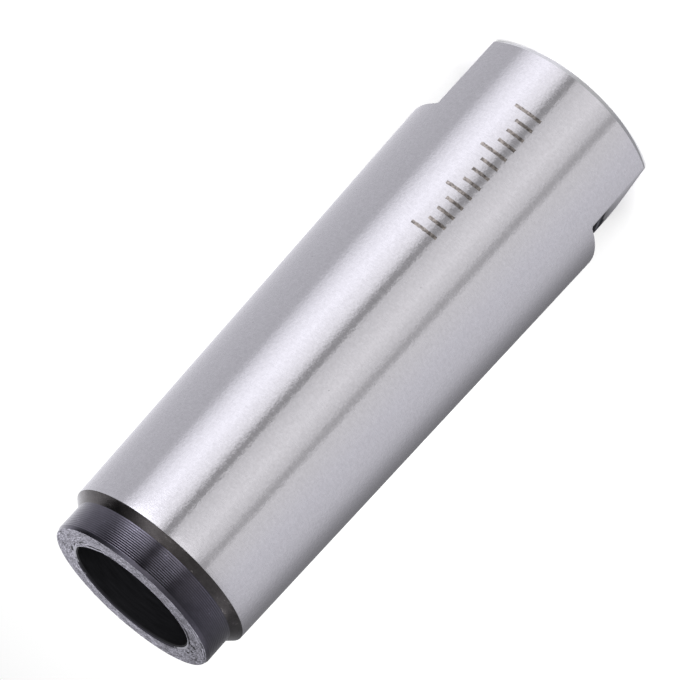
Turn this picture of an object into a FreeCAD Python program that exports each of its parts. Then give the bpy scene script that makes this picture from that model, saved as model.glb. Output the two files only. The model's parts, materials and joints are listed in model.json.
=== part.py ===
"""Morse taper sleeve: a one-piece steel reducer that fits a small taper shank to a large taper spindle.

Millimetres. The origin is the centre of the large-end face, on which the sleeve stands. +Z runs
along the axis to the small end, and the two wrench flats face +X and -X.
"""
import FreeCAD, Part

import os

import Sketcher

# Each size: its name, its value in millimetres, degrees or as a ratio, and what it measures.
SIZES = [
    ("overall_length", 88.0, "large-end face to small-end face"),
    ("shank_gauge_diameter", 31.267, "Morse 4 outside taper at its gauge plane"),
    ("shank_taper_ratio", 19.254, "Morse 4: length over which the diameter changes by 1"),
    ("shank_gauge_height", 6.5, "large-end face to the gauge plane"),
    ("large_end_chamfer", 1.0, "45 degree chamfer round the large-end face"),
    ("small_end_relief", 5.5, "small-end face to the end of the ground taper"),
    ("collar_diameter", 25.0, "turned collar at the small end"),
    ("collar_length", 4.4, "small-end face to the foot of the cone that leads up to the taper"),
    ("collar_bevel_width", 0.2, "steep bevel round the small-end face, measured across it"),
    ("collar_bevel_height", 0.55, "the same bevel, measured along the collar"),
    ("socket_gauge_diameter", 17.780, "Morse 2 socket taper at the large-end face"),
    ("socket_taper_ratio", 20.020, "Morse 2: length over which the diameter changes by 1"),
    ("socket_mouth_chamfer", 0.8, "45 degree chamfer at the mouth of the socket"),
    ("socket_ground_depth", 57.66, "large-end face to the small end of the socket taper"),
    ("tang_bore_length", 9.34, "straight bore past the small end of the socket taper"),
    ("knockout_bore_diameter", 18.0, "bore drilled in from the small end"),
    ("knockout_mouth_chamfer", 0.3, "45 degree chamfer at the mouth of the knockout bore"),
    ("drill_point_angle", 118.0, "full angle of the cone that the drill leaves at its bottom"),
    ("across_flats", 26.0, "one wrench flat to the other"),
    ("right_flat_height", 12.9, "large-end face to the shoulder of the +X flat"),
    ("left_flat_height", 12.2, "large-end face to the shoulder of the -X flat"),
    ("flat_corner_radius", 0.4, "round that the cutter leaves at the foot of each shoulder"),
]

FULL_TURN = 360
HALF_TURN = 180
AXIS_LINE = -2
BASE_LINE = -1
ORIGIN = (-1, 1)


def shank_radius(height):
    """Expression for the radius of the outside taper at a height above the large-end face."""
    growth = f"(Sizes.shank_gauge_height - ({height})) / Sizes.shank_taper_ratio"
    return f"(Sizes.shank_gauge_diameter + {growth}) / 2"


def socket_radius(height):
    """Expression for the radius of the socket taper at a height above the large-end face."""
    return f"(Sizes.socket_gauge_diameter - ({height}) / Sizes.socket_taper_ratio) / 2"


def add_sizes(doc):
    """The sheet of driving dimensions, one named cell each."""
    sheet = doc.addObject("Spreadsheet::Sheet", "Sizes")
    for row, (name, value, meaning) in enumerate(SIZES, start=1):
        sheet.set(f"A{row}", name)
        sheet.set(f"B{row}", str(value))
        sheet.set(f"C{row}", meaning)
        sheet.setAlias(f"B{row}", name)
    doc.recompute()


def section_sketch(body, name, turned=0):
    """An empty sketch on the body's XZ plane, turned about Z. Its x is a radius, its y a height."""
    plane = next(item for item in body.Origin.OriginFeatures if item.Role == "XZ_Plane")
    sketch = body.newObject("Sketcher::SketchObject", name)
    sketch.AttachmentSupport = (plane, [""])
    sketch.MapMode = "FlatFace"
    turn = FreeCAD.Rotation(FreeCAD.Vector(0, 1, 0), turned)
    sketch.AttachmentOffset = FreeCAD.Placement(FreeCAD.Vector(), turn)
    return sketch


def sketch_point(sketch, radius, height):
    """The point that two expressions give at the present sizes."""
    return FreeCAD.Vector(float(sketch.evalExpression(radius)), float(sketch.evalExpression(height)))


def bind(sketch, name, expression, kind, *ends):
    """Add a named dimension between the ends and tie it to an expression of the sizes."""
    value = float(sketch.evalExpression(expression))
    index = sketch.addConstraint(Sketcher.Constraint(kind, *ends, value))
    sketch.renameConstraint(index, name)
    sketch.setExpression(f"Constraints.{name}", expression)


def draw_section(sketch, corners):
    """A closed outline of straight edges through named corners, each with its radius and height.

    An edge between equal radii or equal heights is held upright or level. The other radii and
    heights are dimensions from the origin, or lie on the axis or the base line where they are 0.
    """
    points = [sketch_point(sketch, radius, height) for _, radius, height in corners]
    for start, end in zip(points, points[1:] + points[:1]):
        sketch.addGeometry(Part.LineSegment(start, end))
    for edge, (name, radius, height) in enumerate(corners):
        before = (edge - 1) % len(corners)
        _, radius_before, height_before = corners[before]
        sketch.addConstraint(Sketcher.Constraint("Coincident", before, 2, edge, 1))
        if radius == radius_before:
            sketch.addConstraint(Sketcher.Constraint("Vertical", before))
        elif radius == "0":
            sketch.addConstraint(Sketcher.Constraint("PointOnObject", edge, 1, AXIS_LINE))
        else:
            bind(sketch, f"{name}_radius", radius, "DistanceX", *ORIGIN, edge, 1)
        if height == height_before:
            sketch.addConstraint(Sketcher.Constraint("Horizontal", before))
        elif height == "0":
            sketch.addConstraint(Sketcher.Constraint("PointOnObject", edge, 1, BASE_LINE))
        else:
            bind(sketch, f"{name}_height", height, "DistanceY", *ORIGIN, edge, 1)


def turn_section(body, kind, sketch, name):
    """Revolve the section about the sleeve's axis, to add material or to cut it away."""
    turned = body.newObject(kind, name)
    turned.Profile = sketch
    turned.ReferenceAxis = (sketch, ["V_Axis"])
    turned.Angle = FULL_TURN
    sketch.Visibility = False


def turn_blank(body):
    """The outside: chamfered large end, ground taper, cone, collar and the bevel that ends it."""
    taper_end = "Sizes.overall_length - Sizes.small_end_relief"
    cone_foot = "Sizes.overall_length - Sizes.collar_length"
    bevel_foot = "Sizes.overall_length - Sizes.collar_bevel_height"
    sketch = section_sketch(body, "BlankSection")
    draw_section(sketch, [
        ("base_centre", "0", "0"),
        ("base_rim", shank_radius("0") + " - Sizes.large_end_chamfer", "0"),
        ("taper_start", shank_radius("Sizes.large_end_chamfer"), "Sizes.large_end_chamfer"),
        ("taper_end", shank_radius(taper_end), taper_end),
        ("cone_foot", "Sizes.collar_diameter / 2", cone_foot),
        ("collar_rim", "Sizes.collar_diameter / 2", bevel_foot),
        ("top_rim", "Sizes.collar_diameter / 2 - Sizes.collar_bevel_width", "Sizes.overall_length"),
        ("top_centre", "0", "Sizes.overall_length"),
    ])
    turn_section(body, "PartDesign::Revolution", sketch, "Blank")


def bore_through(body):
    """The inside: socket taper, tang bore, drilled step and knockout bore."""
    tang_bore_radius = socket_radius("Sizes.socket_ground_depth")
    tang_bore_end = "Sizes.socket_ground_depth + Sizes.tang_bore_length"
    step_width = f"(Sizes.knockout_bore_diameter / 2 - {tang_bore_radius})"
    step_end = f"{tang_bore_end} + {step_width} / tan(Sizes.drill_point_angle / 2)"
    sketch = section_sketch(body, "BoreSection")
    draw_section(sketch, [
        ("mouth_centre", "0", "0"),
        ("mouth_rim", socket_radius("0") + " + Sizes.socket_mouth_chamfer", "0"),
        ("socket_start", socket_radius("Sizes.socket_mouth_chamfer"), "Sizes.socket_mouth_chamfer"),
        ("socket_end", tang_bore_radius, "Sizes.socket_ground_depth"),
        ("tang_bore_end", tang_bore_radius, tang_bore_end),
        ("knockout_start", "Sizes.knockout_bore_diameter / 2", step_end),
        ("knockout_end", "Sizes.knockout_bore_diameter / 2",
         "Sizes.overall_length - Sizes.knockout_mouth_chamfer"),
        ("knockout_rim", "Sizes.knockout_bore_diameter / 2 + Sizes.knockout_mouth_chamfer",
         "Sizes.overall_length"),
        ("knockout_centre", "0", "Sizes.overall_length"),
    ])
    turn_section(body, "PartDesign::Groove", sketch, "Bore")


def mill_flat(body, side, turned, flat_height):
    """One wrench flat, cut square across the sleeve up to a shoulder with a rounded foot."""
    flat = "Sizes.across_flats / 2"
    clear = "Sizes.shank_gauge_diameter"
    corner = "Sizes.flat_corner_radius"
    sketch = section_sketch(body, f"{side}FlatSection", turned)
    foot = sketch_point(sketch, flat, "0")
    outside = sketch_point(sketch, clear, "0")
    top_outside = sketch_point(sketch, clear, flat_height)
    round_centre = sketch_point(sketch, f"{flat} + {corner}", f"{flat_height} - {corner}")
    radius = float(sketch.evalExpression(corner))
    round_start = round_centre + FreeCAD.Vector(0, radius)
    round_end = round_centre - FreeCAD.Vector(radius, 0)
    round_middle = round_centre + FreeCAD.Vector(-radius, radius).normalize() * radius
    bottom = sketch.addGeometry(Part.LineSegment(foot, outside))
    outer = sketch.addGeometry(Part.LineSegment(outside, top_outside))
    shoulder = sketch.addGeometry(Part.LineSegment(top_outside, round_start))
    rounding = sketch.addGeometry(Part.Arc(round_start, round_middle, round_end))
    face = sketch.addGeometry(Part.LineSegment(round_end, foot))
    sketch.addConstraint([
        Sketcher.Constraint("Coincident", bottom, 2, outer, 1),
        Sketcher.Constraint("Coincident", outer, 2, shoulder, 1),
        Sketcher.Constraint("Tangent", shoulder, 2, rounding, 1),
        Sketcher.Constraint("Tangent", rounding, 2, face, 1),
        Sketcher.Constraint("Coincident", face, 2, bottom, 1),
        Sketcher.Constraint("PointOnObject", bottom, 1, BASE_LINE),
        Sketcher.Constraint("Horizontal", bottom),
        Sketcher.Constraint("Vertical", outer),
        Sketcher.Constraint("Horizontal", shoulder),
        Sketcher.Constraint("Vertical", face),
    ])
    bind(sketch, "flat", flat, "DistanceX", *ORIGIN, bottom, 1)
    bind(sketch, "clear", clear, "DistanceX", *ORIGIN, bottom, 2)
    bind(sketch, "shoulder", flat_height, "DistanceY", *ORIGIN, outer, 2)
    bind(sketch, "rounding", corner, "Radius", rounding)
    pocket = body.newObject("PartDesign::Pocket", f"{side}Flat")
    pocket.Profile = sketch
    pocket.SideType = "Symmetric"
    pocket.setExpression("Length", "2 * Sizes.shank_gauge_diameter")
    sketch.Visibility = False


def add_sleeve(doc):
    """The whole sleeve: one body, turned, bored and milled."""
    body = doc.addObject("PartDesign::Body", "Sleeve")
    body.Label = "sleeve"
    body.Placement = FreeCAD.Placement()
    turn_blank(body)
    bore_through(body)
    mill_flat(body, "Right", 0, "Sizes.right_flat_height")
    mill_flat(body, "Left", HALF_TURN, "Sizes.left_flat_height")
    return body


def check_document(doc, body):
    """Stop unless every object recomputed, every cut took material away and the body is one solid."""
    for item in doc.Objects:
        if {"Invalid", "Error"} & set(item.State):
            raise RuntimeError(f"{item.Name} did not recompute")
    for sketch in doc.findObjects("Sketcher::SketchObject"):
        if sketch.solve() or not sketch.FullyConstrained:
            raise RuntimeError(f"{sketch.Name} is not fully constrained")
    features = [item for item in body.Group if item.isDerivedFrom("PartDesign::Feature")]
    for before, cut in zip(features, features[1:]):
        if cut.Shape.Volume >= before.Shape.Volume:
            raise RuntimeError(f"{cut.Name} cuts nothing")
    if body.Shape.isNull() or not body.Shape.isValid() or len(body.Shape.Solids) != 1:
        raise RuntimeError("the sleeve is not one valid solid")


def main():
    doc = FreeCAD.newDocument("MorseTaperSleeve")
    add_sizes(doc)
    body = add_sleeve(doc)
    doc.recompute()
    check_document(doc, body)
    os.makedirs("parts", exist_ok=True)
    body.Shape.exportStep(f"parts/{body.Label}.step")


main()
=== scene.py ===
"""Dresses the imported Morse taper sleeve: turned, ground and blackened steel in a plain studio.

Metres, in the frame of the CAD part: the sleeve stands on its large end, with +Z towards the
small end and its two wrench flats facing +X and -X. Turns are angles about the sleeve's axis.
"""

import json
import math
from collections import namedtuple

import bpy
from mathutils import Matrix, Vector, noise


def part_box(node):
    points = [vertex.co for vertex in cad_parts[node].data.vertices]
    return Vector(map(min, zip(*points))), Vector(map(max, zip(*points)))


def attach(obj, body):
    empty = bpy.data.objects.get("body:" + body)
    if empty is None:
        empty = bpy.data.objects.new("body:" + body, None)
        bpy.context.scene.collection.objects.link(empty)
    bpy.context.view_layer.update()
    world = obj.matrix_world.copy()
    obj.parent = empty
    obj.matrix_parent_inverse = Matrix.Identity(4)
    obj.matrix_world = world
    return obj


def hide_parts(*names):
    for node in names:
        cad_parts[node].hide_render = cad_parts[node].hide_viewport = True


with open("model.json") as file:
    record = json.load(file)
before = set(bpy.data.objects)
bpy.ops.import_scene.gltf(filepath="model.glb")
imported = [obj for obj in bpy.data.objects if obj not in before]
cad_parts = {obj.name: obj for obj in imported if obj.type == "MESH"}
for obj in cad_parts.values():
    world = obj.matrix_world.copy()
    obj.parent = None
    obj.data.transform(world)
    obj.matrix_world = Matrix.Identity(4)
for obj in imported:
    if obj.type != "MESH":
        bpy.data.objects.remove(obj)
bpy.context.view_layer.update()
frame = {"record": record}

MM = 0.001
MOUNTS = {mount["name"]: mount for mount in frame["record"]["mounts"]}

# Outside, from the large-end face up.
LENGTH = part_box("sleeve")[1].z
SHANK_GAUGE_DIAMETER = 31.267 * MM
SHANK_GAUGE_HEIGHT = 6.5 * MM
SHANK_TAPER_RATIO = 19.254
LARGE_END_CHAMFER = 1.0 * MM
TAPER_END = LENGTH - 5.5 * MM
COLLAR_FOOT = LENGTH - 4.4 * MM
COLLAR_RADIUS = 12.5 * MM
COLLAR_BEVEL_WIDTH = 0.2 * MM
COLLAR_BEVEL_HEIGHT = 0.55 * MM

# Inside, from the mouth of the socket up.
SOCKET_GAUGE_DIAMETER = 17.780 * MM
SOCKET_TAPER_RATIO = 20.020
SOCKET_MOUTH_CHAMFER = 0.8 * MM
SOCKET_GROUND_DEPTH = 57.66 * MM
TANG_BORE_LENGTH = MOUNTS["tang_bore"]["dims"]["length_mm"] * MM
KNOCKOUT_RADIUS = MOUNTS["knockout_bore"]["dims"]["r_mm"] * MM
KNOCKOUT_MOUTH_CHAMFER = 0.3 * MM
DRILL_POINT_HALF_ANGLE = math.radians(59)

# Wrench flats.
FLAT_DISTANCE = MOUNTS["right_flat"]["pos_m"][0]
RIGHT_FLAT_HEIGHT = 12.9 * MM
LEFT_FLAT_HEIGHT = 12.2 * MM
FLAT_CORNER_RADIUS = 0.4 * MM

# Fine forms that only the finished mesh has. Its skin lies just inside the solid.
SKIN_DEPTH = 0.01 * MM
EDGE_BREAK = 0.05 * MM
CONE_EDGE_BREAK = 0.025 * MM

# The small-end face is worn at its outer edge and at the bore's rim, where a burr leans in.
FACE_EDGE_WEAR = 0.10 * MM
RIM_WEAR = 0.12 * MM
RIM_WEAR_SLOPE = 0.8
BURR_TURN = math.radians(60)
BURR_SPREAD = math.radians(22)
BURR_REACH = 0.35 * MM

# The collar's turning grooves.
GROOVE_PITCH = 0.268 * MM
GROOVE_DEPTH = 0.023 * MM
GROOVE_STEPS = 5

# The rough scale on the small-end face: fractal noise of a height and a grain size.
SCALE_HEIGHT = 0.05 * MM
SCALE_SIZE = 0.5 * MM
SCALE_FALL_OFF = 0.9
SCALE_LACUNARITY = 2.1
SCALE_OCTAVES = 4

# Mesh density round the sleeve: columns on each flat and on each arc between the flats.
FLAT_COLUMNS = 60
ARC_COLUMNS = 150

# The first ring of the taper above its chamfer, and how far a ring on the large-end face stays
# inside the flats, so that the rings beyond it don't fold onto them.
FIRST_TAPER_RING = 2 * MM
FLAT_CLEARANCE = 0.3 * MM

# Edges sharper than this are shaded sharp.
SHARP_ANGLE = math.radians(25)


# ---------------------------------------------------------------- section

# A ring of the sleeve, with the finish of the band between it and the next ring.
Ring = namedtuple("Ring", "radius height finish")


def shank_radius(z):
    """Radius of the ground outside taper at a height."""
    return (SHANK_GAUGE_DIAMETER + (SHANK_GAUGE_HEIGHT - z) / SHANK_TAPER_RATIO) / 2 - SKIN_DEPTH


def socket_radius(z):
    """Radius of the socket taper at a height."""
    return (SOCKET_GAUGE_DIAMETER - z / SOCKET_TAPER_RATIO) / 2


def steps(start, end, count):
    """count values from start towards end, without end."""
    return [start + (end - start) * i / count for i in range(count)]


def band(finish, start, end, count=1):
    """Rings from start towards end, both (radius, height), without end."""
    radii = steps(start[0], end[0], count)
    heights = steps(start[1], end[1], count)
    return [Ring(radius, height, finish) for radius, height in zip(radii, heights)]


def shank_heights():
    """Ring heights on the ground taper, closer together at the rounded shoulder of each flat."""
    heights = {LARGE_END_CHAMFER}
    heights.update(steps(FIRST_TAPER_RING, RIGHT_FLAT_HEIGHT - 2 * FLAT_CORNER_RADIUS, 5))
    heights.update(steps(RIGHT_FLAT_HEIGHT + 2 * FLAT_CORNER_RADIUS, TAPER_END, 16))
    for shoulder in (RIGHT_FLAT_HEIGHT, LEFT_FLAT_HEIGHT):
        for slope in range(0, 91, 15):
            heights.add(shoulder - FLAT_CORNER_RADIUS * math.cos(math.radians(slope)))
        heights.add(shoulder + EDGE_BREAK)
    return sorted(heights)


def groove_rings(foot, top):
    """The collar's turning grooves: shallow arcs side by side, with a sharp crest between two."""
    count = round((top - foot) / GROOVE_PITCH)
    rings = []
    for start in steps(foot, top, count):
        for share in steps(0, 1, GROOVE_STEPS):
            depth = GROOVE_DEPTH * (1 - (2 * share - 1) ** 2)
            height = start + (top - foot) / count * share
            rings.append(Ring(COLLAR_RADIUS - SKIN_DEPTH - depth, height, "blued_collar"))
    return rings


# Where the outside and the inside meet: (radius, height) at the socket's mouth and at the worn
# edge of the small-end face.
MOUTH_RIM = (socket_radius(0) + SOCKET_MOUTH_CHAMFER, 0)
BORE_EDGE = (KNOCKOUT_RADIUS + KNOCKOUT_MOUTH_CHAMFER + RIM_WEAR, LENGTH)


def outside_rings():
    """Up the outside: large-end face, chamfer, ground taper, cone, collar and small-end face."""
    flat_clear = (FLAT_DISTANCE - FLAT_CLEARANCE, 0)
    base_rim = (shank_radius(0) - LARGE_END_CHAMFER, 0)
    taper_start = (shank_radius(LARGE_END_CHAMFER), LARGE_END_CHAMFER)
    taper_end = (shank_radius(TAPER_END), TAPER_END - CONE_EDGE_BREAK)
    cone_top = (shank_radius(TAPER_END) - CONE_EDGE_BREAK, TAPER_END)
    cone_foot = (COLLAR_RADIUS - SKIN_DEPTH, COLLAR_FOOT)
    collar_rim = (COLLAR_RADIUS - SKIN_DEPTH, LENGTH - COLLAR_BEVEL_HEIGHT)
    top_rim = (COLLAR_RADIUS - COLLAR_BEVEL_WIDTH, LENGTH - EDGE_BREAK)
    face_edge = (COLLAR_RADIUS - COLLAR_BEVEL_WIDTH - FACE_EDGE_WEAR, LENGTH)
    return [
        *band("turned_face", MOUTH_RIM, flat_clear, count=8),
        *band("turned_face", flat_clear, base_rim),
        *band("bare_edge", base_rim, taper_start, count=2),
        *[Ring(shank_radius(z), z, "ground_taper") for z in shank_heights()],
        *band("bare_edge", taper_end, cone_top),
        *band("blued_cone", cone_top, cone_foot, count=5),
        *groove_rings(cone_foot[1], collar_rim[1]),
        *band("blued_collar", collar_rim, top_rim, count=3),
        *band("scaled_face", top_rim, face_edge),
        *band("scaled_face", face_edge, BORE_EDGE, count=18),
    ]


def inside_rings():
    """Down the inside: mouth chamfer, knockout bore, drilled step, tang bore and socket."""
    bore_rim = (KNOCKOUT_RADIUS + KNOCKOUT_MOUTH_CHAMFER, LENGTH - EDGE_BREAK)
    bore_lip = (bore_rim[0] - RIM_WEAR, bore_rim[1] - RIM_WEAR * RIM_WEAR_SLOPE)
    bore_top = (KNOCKOUT_RADIUS, LENGTH - KNOCKOUT_MOUTH_CHAMFER)
    tang_radius = socket_radius(SOCKET_GROUND_DEPTH)
    tang_end = SOCKET_GROUND_DEPTH + TANG_BORE_LENGTH
    step_end = tang_end + (KNOCKOUT_RADIUS - tang_radius) / math.tan(DRILL_POINT_HALF_ANGLE)
    socket_start = (socket_radius(SOCKET_MOUTH_CHAMFER), SOCKET_MOUTH_CHAMFER)
    step_top = (KNOCKOUT_RADIUS, step_end)
    step_foot = (tang_radius, tang_end)
    tang_foot = (tang_radius, SOCKET_GROUND_DEPTH)
    return [
        *band("worn_rim", BORE_EDGE, bore_rim),
        *band("worn_rim", bore_rim, bore_lip),
        *band("black_bore", bore_lip, bore_top, count=2),
        *band("black_bore", bore_top, step_top, count=8),
        *band("black_bore", step_top, step_foot, count=2),
        *band("black_bore", step_foot, tang_foot, count=3),
        *band("ground_socket", tang_foot, socket_start, count=12),
        *band("bare_edge", socket_start, MOUTH_RIM, count=2),
    ]


# ---------------------------------------------------------------- mesh

def flat_reach(z, shoulder):
    """How far from the axis a flat leaves steel standing at a height, or None above its shoulder."""
    if z > shoulder + EDGE_BREAK / 2:
        return None
    foot = shoulder - FLAT_CORNER_RADIUS
    rise = max(0, min((z - foot) / FLAT_CORNER_RADIUS, 1))
    rounded = FLAT_DISTANCE + FLAT_CORNER_RADIUS * (1 - math.sqrt(1 - rise * rise))
    at_shoulder = shank_radius(z) - EDGE_BREAK
    return at_shoulder if z > shoulder - EDGE_BREAK / 2 else rounded


def half_angle(radius, reach):
    """Half the turn over which a cut at a distance from the axis meets a ring."""
    return math.acos(min(reach / radius, 1))


WIDEST_HALF = half_angle(shank_radius(LARGE_END_CHAMFER), FLAT_DISTANCE)
BREAK_TURN = EDGE_BREAK / shank_radius(0)


def ring_points(ring):
    """One ring's points, counter-clockwise from the start of the +X flat."""
    sides = []
    for side, shoulder in ((1, RIGHT_FLAT_HEIGHT), (-1, LEFT_FLAT_HEIGHT)):
        outside = ring.radius > FLAT_DISTANCE and ring.height < LENGTH / 2
        reach = flat_reach(ring.height, shoulder) if outside else None
        cut = reach is not None and reach < ring.radius
        half = half_angle(ring.radius, FLAT_DISTANCE) if cut and reach == FLAT_DISTANCE else WIDEST_HALF
        sides.append((side, half, reach if cut else ring.radius))
    points = []
    for (side, half, reach), (_, other_half, _) in zip(sides, sides[::-1]):
        for turn in steps(-half + BREAK_TURN, half - BREAK_TURN, FLAT_COLUMNS) + [half - BREAK_TURN]:
            x = min(ring.radius * math.cos(turn), reach)
            points.append((side * x, side * ring.radius * math.sin(turn)))
        start = half + BREAK_TURN
        end = math.pi - other_half - BREAK_TURN
        for turn in steps(start, end, ARC_COLUMNS) + [end]:
            x = ring.radius * math.cos(turn)
            points.append((side * x, side * ring.radius * math.sin(turn)))
    return [Vector((x, y, ring.height)) for x, y in points]


def scale_drop(point):
    """How far the rough scale on the small-end face lies below its highest level."""
    depth = noise.fractal(point / SCALE_SIZE, SCALE_FALL_OFF, SCALE_LACUNARITY, SCALE_OCTAVES)
    return SCALE_HEIGHT * max(0, min(0.5 + depth, 1))


def at_bore_rim(ring):
    """Whether a ring is one of the bore's rim in the small-end face."""
    return ring.height > LENGTH - KNOCKOUT_MOUTH_CHAMFER and ring.radius < BORE_EDGE[0] + RIM_WEAR


def lean_in(point):
    """Move a point of the bore's rim inwards where the burr leans over it, but not into the bore."""
    radius = math.hypot(point.x, point.y)
    away = (math.atan2(point.x, -point.y) - BURR_TURN) / BURR_SPREAD
    burr = BURR_REACH * max(0, 1 - away * away)
    share = max(radius - burr, min(radius, KNOCKOUT_RADIUS + SKIN_DEPTH)) / radius
    point.x *= share
    point.y *= share


def face_finish(ring, corners):
    """The finish of one quad: its band's own, unless a flat or its edge crosses the band."""
    if ring.finish not in ("ground_taper", "bare_edge") or ring.height > LENGTH / 2:
        return ring.finish
    sideways = [abs(p.x) for p in corners]
    if ring.finish == "bare_edge":
        level = max(sideways) - min(sideways) < EDGE_BREAK / 100
        on_flat = level and sideways[0] > FLAT_DISTANCE - SKIN_DEPTH
        return "milled_flat" if on_flat else "bare_edge"
    short = [shank_radius(p.z) - math.hypot(p.x, p.y) for p in corners]
    if min(short) > EDGE_BREAK * 0.7:
        return "milled_flat"
    return "ground_taper" if max(short) < SKIN_DEPTH / 10 else "bare_edge"


def build_sleeve(materials):
    """The sleeve's visible skin: rings joined by quads, up the outside and down the inside."""
    rings = outside_rings() + inside_rings()
    layers = [ring_points(ring) for ring in rings]
    for ring, layer in zip(rings, layers):
        if ring.finish == "scaled_face" and ring.height == LENGTH:
            for point in layer:
                point.z -= scale_drop(point)
        if at_bore_rim(ring):
            for point in layer:
                lean_in(point)
    columns = len(layers[0])
    faces = []
    finishes = []
    for i, ring in enumerate(rings):
        above = (i + 1) % len(rings)
        for j in range(columns):
            beside = (j + 1) % columns
            corners = ((i, j), (i, beside), (above, beside), (above, j))
            faces.append([row * columns + column for row, column in corners])
            finishes.append(face_finish(ring, [layers[row][column] for row, column in corners]))
    names = list(materials)
    mesh = bpy.data.meshes.new("sleeve_steel")
    mesh.from_pydata([point for layer in layers for point in layer], [], faces)
    for material in materials.values():
        mesh.materials.append(material)
    mesh.polygons.foreach_set("material_index", [names.index(finish) for finish in finishes])
    mesh.polygons.foreach_set("use_smooth", [True] * len(faces))
    mesh.set_sharp_from_angle(angle=SHARP_ANGLE)
    mesh.update()
    sleeve = bpy.data.objects.new("sleeve_steel", mesh)
    bpy.context.scene.collection.objects.link(sleeve)
    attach(sleeve, "root")
    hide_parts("sleeve")


# ---------------------------------------------------------------- materials

class Finish:
    """A surface finish: one Principled shader, and short ways to drive it with procedural nodes."""

    def __init__(self, name, colour, metallic, roughness):
        self.material = bpy.data.materials.new(name)
        self.material.use_nodes = True
        self.nodes = self.material.node_tree.nodes
        self.links = self.material.node_tree.links
        self.shader = self.nodes["Principled BSDF"]
        self.place = self.nodes.new("ShaderNodeTexCoord").outputs["Object"]
        self.set("Base Color", (*colour, 1))
        self.set("Metallic", metallic)
        self.set("Roughness", roughness)

    def set(self, name, value):
        """Give one of the shader's inputs a plain value, or the result of a node."""
        if isinstance(value, bpy.types.NodeSocket):
            self.links.new(value, self.shader.inputs[name])
        else:
            self.shader.inputs[name].default_value = value

    def fill(self, socket, value):
        """Give any node's input a plain value, or the result of another node."""
        if isinstance(value, bpy.types.NodeSocket):
            self.links.new(value, socket)
        else:
            socket.default_value = value

    def math(self, operation, first, second=0.0):
        """The result of one sum."""
        node = self.nodes.new("ShaderNodeMath")
        node.operation = operation
        self.fill(node.inputs[0], first)
        self.fill(node.inputs[1], second)
        return node.outputs[0]

    def grain(self, size, detail=2.0, offset=0.0, place=None):
        """Noise from 0 to 1 whose grains have a size along X, Y and Z."""
        mapping = self.nodes.new("ShaderNodeMapping")
        self.links.new(place or self.place, mapping.inputs["Vector"])
        mapping.inputs["Location"].default_value = (offset, offset, offset)
        mapping.inputs["Scale"].default_value = [1 / length for length in size]
        node = self.nodes.new("ShaderNodeTexNoise")
        node.inputs["Scale"].default_value = 1
        node.inputs["Detail"].default_value = detail
        self.links.new(mapping.outputs[0], node.inputs["Vector"])
        return node.outputs["Fac"]

    def ramp(self, factor, *stops):
        """A colour or grey level that follows a factor through (position, colour) stops."""
        node = self.nodes.new("ShaderNodeValToRGB")
        elements = node.color_ramp.elements
        elements[0].position = stops[0][0]
        elements[1].position = stops[-1][0]
        for position, _ in stops[1:-1]:
            elements.new(position)
        for element, (_, colour) in zip(elements, stops):
            element.color = (*colour, 1) if isinstance(colour, tuple) else (colour, colour, colour, 1)
        self.links.new(factor, node.inputs["Fac"])
        return node.outputs["Color"]

    def mix(self, factor, first, second):
        """A blend of two colours."""
        node = self.nodes.new("ShaderNodeMix")
        node.data_type = "RGBA"
        self.fill(node.inputs["Factor"], factor)
        self.fill(node.inputs["A"], first)
        self.fill(node.inputs["B"], second)
        return node.outputs["Result"]

    def times(self, first, second):
        """Two colours multiplied together."""
        node = self.nodes.new("ShaderNodeMix")
        node.data_type = "RGBA"
        node.blend_type = "MULTIPLY"
        node.inputs["Factor"].default_value = 1
        self.links.new(first, node.inputs["A"])
        self.links.new(second, node.inputs["B"])
        return node.outputs["Result"]

    def polar(self):
        """The turn from -Y towards +X in radians, the distance from the axis, and the height."""
        split = self.nodes.new("ShaderNodeSeparateXYZ")
        self.links.new(self.place, split.inputs[0])
        x, y, z = split.outputs
        turn = self.math("ARCTAN2", x, self.math("MULTIPLY", y, -1.0))
        squares = self.math("ADD", self.math("MULTIPLY", x, x), self.math("MULTIPLY", y, y))
        return turn, self.math("SQRT", squares), z

    def round_place(self, reach):
        """A place on the end face, for grain that runs round the axis and is even at a reach."""
        split = self.nodes.new("ShaderNodeSeparateXYZ")
        self.links.new(self.place, split.inputs[0])
        x, y, _ = split.outputs
        radius = self.polar()[1]
        join = self.nodes.new("ShaderNodeCombineXYZ")
        self.links.new(self.math("MULTIPLY", self.math("DIVIDE", x, radius), reach), join.inputs[0])
        self.links.new(self.math("MULTIPLY", self.math("DIVIDE", y, radius), reach), join.inputs[1])
        self.links.new(radius, join.inputs[2])
        return join.outputs[0]

    def pits(self, spacing, size, share):
        """1 in a few small pits, 0 elsewhere: a share of the cells of a spacing has one."""
        mapping = self.nodes.new("ShaderNodeMapping")
        self.links.new(self.place, mapping.inputs["Vector"])
        mapping.inputs["Scale"].default_value = (1 / spacing, 1 / spacing, 1 / spacing)
        cells = self.nodes.new("ShaderNodeTexVoronoi")
        cells.inputs["Scale"].default_value = 1
        self.links.new(mapping.outputs[0], cells.inputs["Vector"])
        chance = self.nodes.new("ShaderNodeSeparateColor")
        self.links.new(cells.outputs["Color"], chance.inputs[0])
        near = self.math("LESS_THAN", cells.outputs["Distance"], size / spacing / 2)
        return self.math("MULTIPLY", near, self.math("LESS_THAN", chance.outputs[0], share))

    def within(self, value, low, high):
        """1 where a value lies between two others."""
        above = self.math("GREATER_THAN", value, low)
        return self.math("MULTIPLY", above, self.math("LESS_THAN", value, high))

    def unrolled(self):
        """A place on the end face with its turn laid out along X, and its radius along Y."""
        turn, radius, _ = self.polar()
        join = self.nodes.new("ShaderNodeCombineXYZ")
        self.links.new(self.math("MULTIPLY", turn, STROKE_REACH), join.inputs[0])
        self.links.new(radius, join.inputs[1])
        return join.outputs[0]

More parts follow.
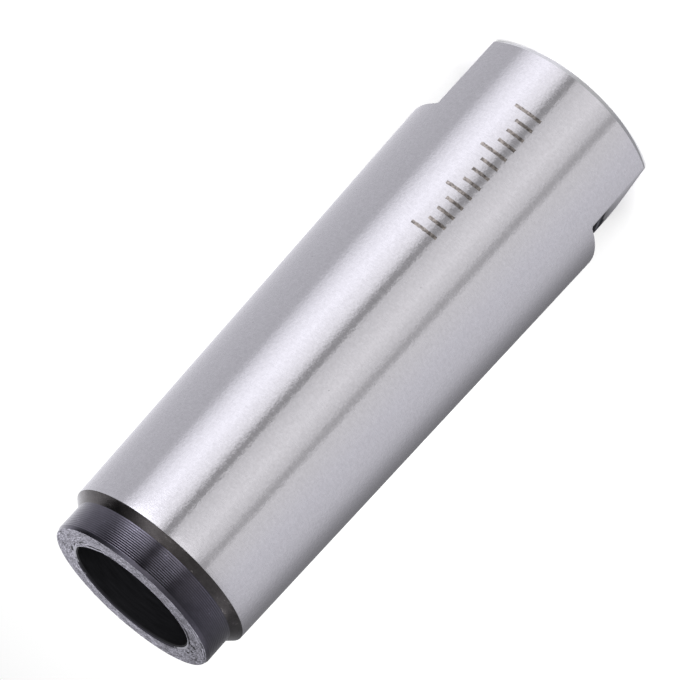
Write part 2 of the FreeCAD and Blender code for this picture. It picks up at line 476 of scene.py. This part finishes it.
    def vector(self, operation, first, second):
        """The result of one sum of two vectors, of which the second may be fixed."""
        node = self.nodes.new("ShaderNodeVectorMath")
        node.operation = operation
        self.links.new(first, node.inputs[0])
        self.fill(node.inputs[1], second)
        return node.outputs["Value" if operation == "DOT_PRODUCT" else "Vector"]

    def strokes(self, ends, waver):
        """1 on any of some strokes on the end face, 0 elsewhere, with edges that a noise wavers."""
        place = self.unrolled()
        waver = self.math("MULTIPLY", self.math("SUBTRACT", waver, 0.5), STROKE_WAVER)
        mask = 0.0
        for (turn, radius), (end_turn, end_radius), width in ends:
            start = Vector((math.radians(turn) * STROKE_REACH, radius * MM, 0))
            end = Vector((math.radians(end_turn) * STROKE_REACH, end_radius * MM, 0))
            length = (end - start).length
            from_start = self.vector("SUBTRACT", place, start)
            along = self.vector("DOT_PRODUCT", from_start, (end - start) / length)
            held = self.math("MINIMUM", self.math("MAXIMUM", along, 0.0), length)
            # The square of the distance to the nearest point, which lies held along the stroke.
            crossed = self.math("MULTIPLY", self.math("MULTIPLY", along, held), 2.0)
            ahead = self.math("SUBTRACT", crossed, self.math("MULTIPLY", held, held))
            square = self.math("SUBTRACT", self.vector("DOT_PRODUCT", from_start, from_start), ahead)
            gap = self.math("ADD", self.math("SQRT", self.math("MAXIMUM", square, 0.0)), waver)
            mask = self.math("MAXIMUM", self.math("LESS_THAN", gap, width / 2 * MM), mask)
        return mask

    def bump(self, height, distance):
        """Relief whose height runs from 0 to 1 times a distance."""
        node = self.nodes.new("ShaderNodeBump")
        node.inputs["Distance"].default_value = distance
        self.links.new(height, node.inputs["Height"])
        self.set("Normal", node.outputs[0])

    def brush_round(self, amount):
        """Stretch the highlight along the axis, as tool marks that run round it do."""
        tangent = self.nodes.new("ShaderNodeTangent")
        tangent.direction_type = "RADIAL"
        tangent.axis = "Z"
        self.set("Tangent", tangent.outputs[0])
        self.set("Anisotropic", amount)
        self.set("Anisotropic Rotation", 0.25)


def shade(colour, factor):
    """A colour made lighter or darker."""
    return tuple(part * factor for part in colour)


# Colours of the steel and of what lies on it, and the near black of painted shade in the bores.
GROUND = (0.625, 0.615, 0.645)
ETCHED = (0.33, 0.30, 0.28)
BLUED = (0.112, 0.107, 0.132)
BURNT = (0.100, 0.093, 0.092)
SCALE = (0.195, 0.190, 0.224)
# Near black: painted shade in the bores, and the dark marks on the small-end face.
NEAR_BLACK = (0.0045, 0.0045, 0.0052)
# The dark of the flats below their shoulders.
FLAT_DARK = (0.020, 0.020, 0.023)

# The etched place: one plain row of graduation strokes, with every fourth stroke long.
ETCH_TURN = math.radians(10)
ETCH_START = 8.6 * MM
ETCH_PITCH = 1.8 * MM
ETCH_COUNT = 13
ETCH_EVERY = 4
ETCH_STROKE = 0.5 * MM
ETCH_LONG = 4.1 * MM
ETCH_SHORT = 2.7 * MM
ETCH_WANDER = 0.16 * MM
ETCH_RADIUS = shank_radius(20 * MM)


def etched_row(finish):
    """1 on the etched graduation strokes, 0 elsewhere."""
    turn, _, z = finish.polar()
    wander = finish.grain((0.35 * MM, 0.35 * MM, 0.35 * MM), 1)
    wander = finish.math("MULTIPLY", finish.math("SUBTRACT", wander, 0.5), ETCH_WANDER)
    across = finish.math("MULTIPLY", finish.math("SUBTRACT", turn, ETCH_TURN), ETCH_RADIUS)
    across = finish.math("ADD", finish.math("ADD", across, wander), ETCH_LONG / 2)
    along = finish.math("SUBTRACT", finish.math("ADD", z, wander), ETCH_START)
    step = finish.math("DIVIDE", along, ETCH_PITCH)
    stroke = finish.math("LESS_THAN", finish.math("FRACT", step), ETCH_STROKE / ETCH_PITCH)
    number = finish.math("MODULO", finish.math("FLOOR", step), float(ETCH_EVERY))
    longer = finish.math("MULTIPLY", finish.math("LESS_THAN", number, 0.5), ETCH_LONG - ETCH_SHORT)
    inside = finish.math("LESS_THAN", across, finish.math("ADD", longer, ETCH_SHORT))
    inside = finish.math("MULTIPLY", inside, finish.math("GREATER_THAN", across, 0.0))
    in_row = finish.within(step, 0.0, float(ETCH_COUNT))
    return finish.math("MULTIPLY", stroke, finish.math("MULTIPLY", inside, in_row))


def ground_taper():
    """Cylindrically ground steel: fine scratches round the axis, tiny pits, and the etched row."""
    finish = Finish("ground_taper", GROUND, 1.0, 0.25)
    finish.brush_round(1.0)
    scratches = finish.grain((0.9 * MM, 0.9 * MM, 0.15 * MM), 2)
    mottle = finish.grain((0.40 * MM, 0.40 * MM, 0.40 * MM), 2)
    texture = finish.math("MULTIPLY", finish.math("ADD", scratches, mottle), 0.5)
    steel = finish.ramp(texture, (0.35, shade(GROUND, 0.93)), (0.65, shade(GROUND, 1.07)))
    steel = finish.mix(finish.pits(2.2 * MM, 0.16 * MM, 0.12), steel, (*shade(GROUND, 0.45), 1))
    char = finish.ramp(mottle, (0.35, shade(ETCHED, 0.55)), (0.65, shade(ETCHED, 1.45)))
    etched = etched_row(finish)
    finish.set("Base Color", finish.mix(etched, steel, char))
    roughness = finish.ramp(scratches, (0.3, 0.22), (0.7, 0.28))
    finish.set("Roughness", finish.math("ADD", roughness, finish.math("MULTIPLY", etched, 0.12)))
    finish.bump(texture, 0.06 * MM)
    return finish.material


def bare_edge():
    """Bright bare steel at chamfers and broken edges."""
    finish = Finish("bare_edge", GROUND, 1.0, 0.3)
    finish.brush_round(0.8)
    scratches = finish.grain((0.8 * MM, 0.8 * MM, 0.08 * MM), 2)
    finish.set("Base Color", finish.ramp(
        scratches, (0.3, (0.60, 0.60, 0.62)), (0.7, (0.74, 0.74, 0.76))))
    finish.bump(scratches, 0.01 * MM)
    return finish.material


def turned_face():
    """The faced large end: fine rings cut by the lathe tool."""
    finish = Finish("turned_face", GROUND, 1.0, 0.3)
    finish.brush_round(0.7)
    _, radius, _ = finish.polar()
    waver = finish.math("MULTIPLY", finish.grain((2 * MM, 2 * MM, 2 * MM), 1), 0.03 * MM)
    rings = finish.math("FRACT", finish.math("DIVIDE", finish.math("ADD", radius, waver), 0.18 * MM))
    finish.set("Base Color", finish.ramp(rings, (0.0, shade(GROUND, 0.85)), (1.0, shade(GROUND, 1.05))))
    finish.bump(rings, 0.008 * MM)
    return finish.material


def blued(name, colour, spread, scuff):
    """Turned steel under black oxide, worn unevenly and scuffed through in small specks."""
    finish = Finish(name, colour, 1.0, 0.2)
    patches = finish.grain((1.4 * MM, 1.4 * MM, 0.7 * MM), 3)
    specks = finish.grain((0.20 * MM, 0.20 * MM, 0.14 * MM), 2, 5.0)
    wear = finish.math("MULTIPLY", finish.math("ADD", patches, specks), 0.5)
    finish.set("Base Color", finish.ramp(
        wear, (0.35, shade(colour, 1 - spread)), (0.62, shade(colour, 1 + spread)),
        (0.68, shade(colour, scuff))))
    finish.set("Roughness", finish.ramp(patches, (0.3, 0.15), (0.7, 0.22)))
    finish.bump(specks, 0.006 * MM)
    return finish.material


# The small-end face is painted palest at a turn from -Y towards +X and darker away from it: painted
# shading, as if lit from that side.
PAINTED_LIGHT_TURN = math.radians(115)

# Damage on the small-end face, and a painted highlight along its outer edge: strokes from one (turn
# from -Y towards +X in degrees, radius in mm) to another, with a width in mm. A stroke is straight
# where the face is unrolled at a reach.
STROKE_REACH = 10.0 * MM
STROKE_WAVER = 0.3 * MM
# On the -X side a crack follows the bore's rim and runs outwards.
CRACK = (
    ((-50, 9.95), (-60, 9.75), 0.26),
    ((-60, 9.75), (-79, 9.60), 0.28),
    ((-79.5, 9.65), (-81.5, 10.4), 0.55),
)
DENTS = (
    ((-91, 9.65), (-92, 9.70), 0.40),
    ((-92, 10.2), (-94, 10.2), 0.36),
    ((-101, 10.1), (-103, 10.1), 0.34),
    ((91, 9.8), (97, 9.65), 0.30),
    ((126, 10.05), (128, 10.05), 0.35),
)
# Dark strokes near the outer edge on the -X side, beside the painted edge highlight, and a scuff beside
# the burr on the +X side.
DARK_STROKES = (
    ((-45, 11.8), (-54, 11.95), 0.20),
    ((-62, 12.0), (-86, 12.1), 0.14),
    ((-66, 11.5), (-82, 11.7), 0.16),
    ((56, 9.5), (38, 9.8), 0.30),
    ((67, 9.85), (50, 10.05), 0.16),
    ((78, 9.75), (84, 9.6), 0.25),
)
# Pale strokes: along the outer edge on the -X side a painted highlight of that edge, by the bore's rim
# on the +X side pale scores.
PALE_SCORES_AND_EDGE_HIGHLIGHT = (
    ((-44, 12.0), (-54, 12.2), 0.20),
    ((-48, 11.7), (-61, 11.5), 0.14),
    ((-61, 11.5), (-80, 11.85), 0.14),
    ((60, 9.25), (36, 9.35), 0.16),
    ((60, 9.7), (36, 10.1), 0.18),
    ((86, 9.5), (92, 9.45), 0.30),
    ((98, 9.5), (150, 9.5), 0.14),
)

# How far the bore's rim is worn bright, at turns in degrees from -Y towards +X.
RIM_WORN = (
    (-180, 0.1), (-125, 0.15), (-106, 0.8), (-60, 1.0), (-45, 0.6), (-20, 0.35), (0, 0.15),
    (20, 0.25), (40, 0.4), (75, 0.4), (84, 0.7), (105, 0.6), (118, 0.3), (180, 0.1),
)


def scaled_face():
    """The unground small-end face: grey heat-treatment scale, pitted, cracked and scuffed, with painted
    shading across it and a painted highlight along its outer edge on the -X side.
    """
    finish = Finish("scaled_face", SCALE, 0.0, 0.5)
    finish.set("Specular IOR Level", 0.2)
    turn, _, _ = finish.polar()
    around = finish.round_place((KNOCKOUT_RADIUS + COLLAR_RADIUS) / 2)
    blotches = finish.grain((1.2 * MM, 1.2 * MM, 1.2 * MM), 2)
    crust = finish.grain((0.22 * MM, 0.22 * MM, 0.22 * MM), 3, 3.0)
    fibres = finish.grain((0.9 * MM, 0.9 * MM, 0.13 * MM), 3, 1.0, around)
    relief = finish.math("MULTIPLY", finish.math("ADD", crust, fibres), 0.5)
    broad = finish.math("MULTIPLY", blotches, 0.15)
    tone = finish.math("ADD", finish.math("MULTIPLY", relief, 0.85), broad)
    steel = finish.ramp(
        tone, (0.41, shade(SCALE, 0.25)), (0.47, shade(SCALE, 0.78)), (0.53, shade(SCALE, 1.1)),
        (0.59, shade(SCALE, 2.2)))
    # Painted shading: the face's colour is multiplied by 1 at the palest turn, down to 0.58 opposite
    # it.
    from_painted_light = finish.math("COSINE", finish.math("SUBTRACT", turn, PAINTED_LIGHT_TURN))
    towards = finish.math("ADD", finish.math("MULTIPLY", from_painted_light, 0.5), 0.5)
    steel = finish.times(steel, finish.ramp(towards, (0.0, 0.58), (0.5, 0.84), (1.0, 1.0)))
    # The pale strokes carry the painted edge highlight on the -X side as well as pale scores.
    pale = finish.strokes(PALE_SCORES_AND_EDGE_HIGHLIGHT, blotches)
    dark = finish.strokes(CRACK + DENTS + DARK_STROKES, blotches)
    holes = finish.math("MAXIMUM", finish.pits(1.2 * MM, 0.30 * MM, 0.25), dark)
    steel = finish.mix(pale, steel, (*shade(SCALE, 1.45), 1))
    finish.set("Base Color", finish.mix(holes, steel, (*NEAR_BLACK, 1)))
    finish.set("Roughness", finish.ramp(crust, (0.3, 0.6), (0.7, 0.42)))
    finish.bump(relief, 0.25 * MM)
    return finish.material


def worn_rim():
    """The bore's rim in the small-end face: oxide, flaked off to bright steel on the two sides."""
    finish = Finish("worn_rim", GROUND, 1.0, 0.4)
    turn, _, _ = finish.polar()
    flakes = finish.grain((1.4 * MM, 1.4 * MM, 1.4 * MM), 4)
    round_once = finish.math("ADD", finish.math("DIVIDE", turn, math.tau), 0.5)
    worn = finish.ramp(round_once, *[(degrees / 360 + 0.5, share) for degrees, share in RIM_WORN])
    bared = finish.math("ADD", flakes, worn)
    finish.set("Base Color", finish.ramp(
        bared, (0.85, shade(BLUED, 0.5)), (1.15, (0.60, 0.60, 0.64))))
    finish.bump(flakes, 0.1 * MM)
    return finish.material


def black_bore():
    """The bores, painted near black: painted shade deep in the holes, over drilling marks."""
    # The near-black colour here is painted shade inside the bores.
    finish = Finish("black_bore", NEAR_BLACK, 0.0, 0.5)
    finish.set("Specular IOR Level", 0.15)
    drilling = finish.grain((3 * MM, 3 * MM, 0.25 * MM), 3)
    finish.set("Base Color", finish.ramp(drilling, (0.3, shade(NEAR_BLACK, 0.8)), (0.75, shade(NEAR_BLACK, 1.6))))
    finish.bump(drilling, 0.02 * MM)
    return finish.material


def ground_socket():
    """The ground socket taper: bright, with faint grinding rings."""
    finish = Finish("ground_socket", shade(GROUND, 0.9), 1.0, 0.25)
    finish.brush_round(0.9)
    rings = finish.grain((4 * MM, 4 * MM, 0.12 * MM), 3)
    finish.set("Base Color", finish.ramp(rings, (0.3, shade(GROUND, 0.8)), (0.7, shade(GROUND, 0.98))))
    finish.bump(rings, 0.01 * MM)
    return finish.material


# How much higher the dark on a flat begins, for each step towards the -Y side.
FLAT_DARK_SLANT = 0.36
FLAT_DARK_WAVER = 0.15


def milled_flat():
    """The wrench flats: milled, pale towards the large end and near black below the shoulder, along a
    slant.
    """
    finish = Finish("milled_flat", GROUND, 1.0, 0.4)
    finish.set("Specular IOR Level", 0.0)
    turn, radius, z = finish.polar()
    cuts = finish.grain((8 * MM, 0.22 * MM, 6 * MM), 3)
    patches = finish.grain((2.2 * MM, 2.2 * MM, 1.6 * MM), 3)
    forwards = finish.math("MULTIPLY", finish.math("COSINE", turn), radius)
    slanted = finish.math("SUBTRACT", z, finish.math("MULTIPLY", forwards, FLAT_DARK_SLANT))
    height = finish.math("DIVIDE", slanted, LEFT_FLAT_HEIGHT)
    waver = finish.math("MULTIPLY", finish.math("SUBTRACT", patches, 0.5), FLAT_DARK_WAVER)
    # The colour darkens with this slanted height, from pale steel at the large end to near black below
    # the shoulder.
    oxide = finish.math("ADD", height, waver)
    finish.set("Base Color", finish.ramp(
        oxide, (0.22, shade(GROUND, 1.5)), (0.40, shade(GROUND, 0.9)), (0.47, shade(GROUND, 0.4)),
        (0.51, FLAT_DARK), (0.57, FLAT_DARK), (0.61, shade(FLAT_DARK, 5)), (0.65, FLAT_DARK), (1.0, FLAT_DARK)))
    finish.set("Metallic", finish.ramp(oxide, (0.45, 1.0), (0.51, 0.0)))
    finish.bump(cuts, 0.02 * MM)
    return finish.material


def make_materials():
    """Every finish of the sleeve, by name."""
    return {
        "ground_taper": ground_taper(),
        "bare_edge": bare_edge(),
        "turned_face": turned_face(),
        "blued_collar": blued("blued_collar", BLUED, 0.12, 1.6),
        "blued_cone": blued("blued_cone", BURNT, 0.25, 3.0),
        "scaled_face": scaled_face(),
        "worn_rim": worn_rim(),
        "black_bore": black_bore(),
        "ground_socket": ground_socket(),
        "milled_flat": milled_flat(),
    }


# ---------------------------------------------------------------- camera

# Where the camera aims, how far away it is, and how it is turned.
CAMERA_TARGET = Vector((2.20, -0.56, 44.0)) * MM
CAMERA_DISTANCE = 401.8 * MM
CAMERA_TURN = math.radians(4.576)
CAMERA_ELEVATION = math.radians(20.138)
CAMERA_ROLL = math.radians(137.82)
CAMERA_LENS = 163.84

CAMERA_FORWARD = Vector((
    math.sin(CAMERA_TURN) * math.cos(CAMERA_ELEVATION),
    math.cos(CAMERA_TURN) * math.cos(CAMERA_ELEVATION),
    -math.sin(CAMERA_ELEVATION),
))
TURN_TO_CAMERA = math.atan2(-CAMERA_FORWARD.y, -CAMERA_FORWARD.x)


def aim(item, forward, up):
    """Turn a camera or lamp to look along forward, with up at the top of its view."""
    right = forward.cross(up).normalized()
    up = right.cross(forward)
    item.matrix_world = Matrix((right, up, -forward)).transposed().to_4x4()


def add_camera():
    """The camera, rolled so that the standing sleeve lies slanting in the picture."""
    level_right = CAMERA_FORWARD.cross(Vector((0, 0, 1))).normalized()
    level_up = level_right.cross(CAMERA_FORWARD)
    data = bpy.data.cameras.new("camera")
    data.lens = CAMERA_LENS
    data.clip_start = 0.01
    camera = bpy.data.objects.new("camera", data)
    up = level_up * math.cos(CAMERA_ROLL) + level_right * math.sin(CAMERA_ROLL)
    aim(camera, CAMERA_FORWARD, up)
    camera.location = CAMERA_TARGET - CAMERA_FORWARD * CAMERA_DISTANCE
    bpy.context.scene.collection.objects.link(camera)
    bpy.context.scene.camera = camera


# ---------------------------------------------------------------- studio

# How brightly the soft boxes round the sleeve glow: stops of (turn in degrees from the camera
# towards +X, glow), with an even change between two stops.
TAPER_GLOW = (
    (-180, 0.5), (-130, 0.3), (-108, 0.24), (-95, 0.27), (-81, 0.42), (-69, 0.65), (-59, 0.77),
    (-37, 0.86), (-24, 0.87), (-21.5, 0.55), (-19.5, 0.55), (-16, 0.84), (-7, 1.05), (0, 0.97),
    (8, 0.82), (9.5, 0.42), (12.5, 0.42), (14.5, 0.8), (18, 1.18), (29, 1.50), (37, 1.32),
    (45, 0.94), (47.5, 0.70), (51, 0.66), (77, 0.72), (91, 0.80), (104, 0.94), (125, 1.15),
    (150, 1.1), (180, 0.5),
)
# The lower edge of the boxes beside the collar, and the gap above it: the two light the lower
# and upper sides of the turning grooves.
LIP_GLOW = (
    (-180, 0.4), (-99, 0.22), (-66, 0.42), (-24, 0.28), (-16, 0.4), (-12, 1.7), (4, 1.9), (8, 0.5),
    (12, 0.4), (16, 1.6), (20, 2.6), (30, 3.8), (36, 4.0), (42, 2.0), (50, 0.8), (75, 0.8),
    (105, 1.2), (140, 1.2), (180, 0.4),
)
GAP_GLOW = (
    (-180, 0.4), (-99, 0.2), (-66, 0.38), (-24, 0.2), (-13, 0.04), (12, 0.04), (20, 0.08),
    (45, 0.12), (60, 0.45), (80, 0.75), (105, 1.2), (140, 1.2), (180, 0.4),
)
# Above the sleeve: low down for the collar's bevel, higher up for the cone.
BEVEL_GLOW = (
    (-180, 0.6), (-77, 0.67), (-64, 0.66), (-50, 0.45), (-20, 0.37), (-3, 0.6), (5, 0.8),
    (20, 1.05), (25, 0.94), (30, 0.64), (36, 0.37), (45, 0.18), (54, 0.14), (64, 0.08),
    (79, 0.06), (88, 0.45), (94, 0.85), (130, 0.9), (180, 0.6),
)
CONE_GLOW = (
    (-180, 0.4), (-102, 0.33), (-82, 0.62), (-58, 0.45), (-20, 0.33), (-3, 0.47), (7, 0.57),
    (16, 0.72), (25, 1.12), (31, 1.22), (37, 1.0), (43, 0.68), (52, 0.26), (61, 0.13),
    (72, 0.04), (84, 0.08), (91, 0.8), (97, 1.3), (130, 1.2), (180, 0.6),
)
# Each row of the ring of soft boxes: its height, and how its glow runs.
STUDIO_ROWS = (
    (-60.0 * MM, TAPER_GLOW),
    (82.2 * MM, TAPER_GLOW),
    (82.4 * MM, LIP_GLOW),
    (84.0 * MM, LIP_GLOW),
    (84.3 * MM, GAP_GLOW),
    (88.3 * MM, GAP_GLOW),
    (89.0 * MM, BEVEL_GLOW),
    (91.2 * MM, BEVEL_GLOW),
    (91.8 * MM, CONE_GLOW),
    (140.0 * MM, CONE_GLOW),
)
# How much wider the ring is than the taper, and how finely it is divided.
STUDIO_SPREAD = 1.25
STUDIO_COLUMNS = 720
# The tint of the boxes, and of those in front, within a half width in degrees of a turn.
STUDIO_TINT = (0.985, 0.98, 1.03)
FRONT_TINT = (1.0, 0.99, 1.0)
FRONT_TURN = -8
FRONT_WIDTH = 18

LAMP_ELEVATION = math.radians(42)
LAMP_DISTANCE = 1.1
LAMP_SIZE = 0.9
LAMP_POWER = 22.0
WORLD_LIGHT = 0.58

FLOOR_COLOUR = (0.95, 0.95, 0.95)
FLOOR_HALF_SIZE = 3.0


def glow_at(stops, turn):
    """The glow of one row of soft boxes at a turn, in degrees from -180 to 180."""
    for (start, low), (end, high) in zip(stops, stops[1:]):
        if start <= turn <= end:
            return low + (high - low) * (turn - start) / (end - start)
    raise ValueError(f"no soft box at {turn} degrees")


def tint_at(turn):
    """The colour of the soft boxes at a turn: cool, and neutral in front of the sleeve."""
    front = max(0, min(2 - abs(turn - FRONT_TURN) / FRONT_WIDTH, 1))
    return [cool + (plain - cool) * front for cool, plain in zip(STUDIO_TINT, FRONT_TINT)]


def glow_material():
    """Light whose strength comes from the mesh's glow attribute."""
    material = bpy.data.materials.new("soft_boxes")
    material.use_nodes = True
    nodes = material.node_tree.nodes
    links = material.node_tree.links
    nodes.clear()
    glow = nodes.new("ShaderNodeAttribute")
    glow.attribute_name = "glow"
    emission = nodes.new("ShaderNodeEmission")
    output = nodes.new("ShaderNodeOutputMaterial")
    links.new(glow.outputs["Color"], emission.inputs["Color"])
    links.new(emission.outputs["Emission"], output.inputs["Surface"])
    return material


def add_soft_boxes():
    """The ring of soft boxes that the steel reflects. Nothing but its reflection is seen."""
    vertices = []
    glows = []
    for height, stops in STUDIO_ROWS:
        radius = shank_radius(max(0, min(height, LENGTH))) * STUDIO_SPREAD
        for turn in steps(-180, 180, STUDIO_COLUMNS):
            angle = TURN_TO_CAMERA + math.radians(turn)
            vertices.append((radius * math.cos(angle), radius * math.sin(angle), height))
            glows.append((*shade(tint_at(turn), glow_at(stops, turn)), 1))
    faces = []
    for row in range(len(STUDIO_ROWS) - 1):
        for column in range(STUDIO_COLUMNS):
            beside = (column + 1) % STUDIO_COLUMNS
            low, high = row * STUDIO_COLUMNS, (row + 1) * STUDIO_COLUMNS
            faces.append((low + column, high + column, high + beside, low + beside))
    mesh = bpy.data.meshes.new("soft_boxes")
    mesh.from_pydata(vertices, [], faces)
    attribute = mesh.color_attributes.new("glow", "FLOAT_COLOR", "POINT")
    for item, glow in zip(attribute.data, glows):
        item.color = glow
    mesh.materials.append(glow_material())
    boxes = bpy.data.objects.new("soft_boxes", mesh)
    boxes.visible_camera = False
    boxes.visible_diffuse = False
    boxes.visible_transmission = False
    boxes.visible_shadow = False
    bpy.context.scene.collection.objects.link(boxes)


def add_lamp():
    """A large soft lamp above the camera. The steel's highlights come from the soft boxes alone."""
    away = Vector((
        math.cos(TURN_TO_CAMERA) * math.cos(LAMP_ELEVATION),
        math.sin(TURN_TO_CAMERA) * math.cos(LAMP_ELEVATION),
        math.sin(LAMP_ELEVATION),
    ))
    data = bpy.data.lights.new("lamp", "AREA")
    data.size = LAMP_SIZE
    data.energy = LAMP_POWER
    lamp = bpy.data.objects.new("lamp", data)
    aim(lamp, -away, Vector((0, 0, 1)))
    lamp.location = Vector((0, 0, LENGTH / 2)) + away * LAMP_DISTANCE
    lamp.visible_glossy = False
    bpy.context.scene.collection.objects.link(lamp)


def add_world():
    """A plain white world, which fills the shadows and is the background."""
    world = bpy.data.worlds.new("studio")
    world.use_nodes = True
    background = world.node_tree.nodes["Background"]
    background.inputs["Color"].default_value = (1, 1, 1, 1)
    background.inputs["Strength"].default_value = WORLD_LIGHT
    bpy.context.scene.world = world


def add_floor():
    """A plain pale floor. The steel reflects the soft boxes, which go on below it, instead."""
    mesh = bpy.data.meshes.new("floor")
    reach = FLOOR_HALF_SIZE
    corners = [(-reach, -reach, 0), (reach, -reach, 0), (reach, reach, 0), (-reach, reach, 0)]
    mesh.from_pydata(corners, [], [(0, 1, 2, 3)])
    finish = Finish("floor", FLOOR_COLOUR, 0.0, 0.9)
    finish.set("Specular IOR Level", 0.0)
    mesh.materials.append(finish.material)
    floor = bpy.data.objects.new("floor", mesh)
    floor.visible_glossy = False
    bpy.context.scene.collection.objects.link(floor)


bpy.context.scene.view_settings.view_transform = "Standard"
build_sleeve(make_materials())
add_camera()
add_soft_boxes()
add_lamp()
add_world()
add_floor()
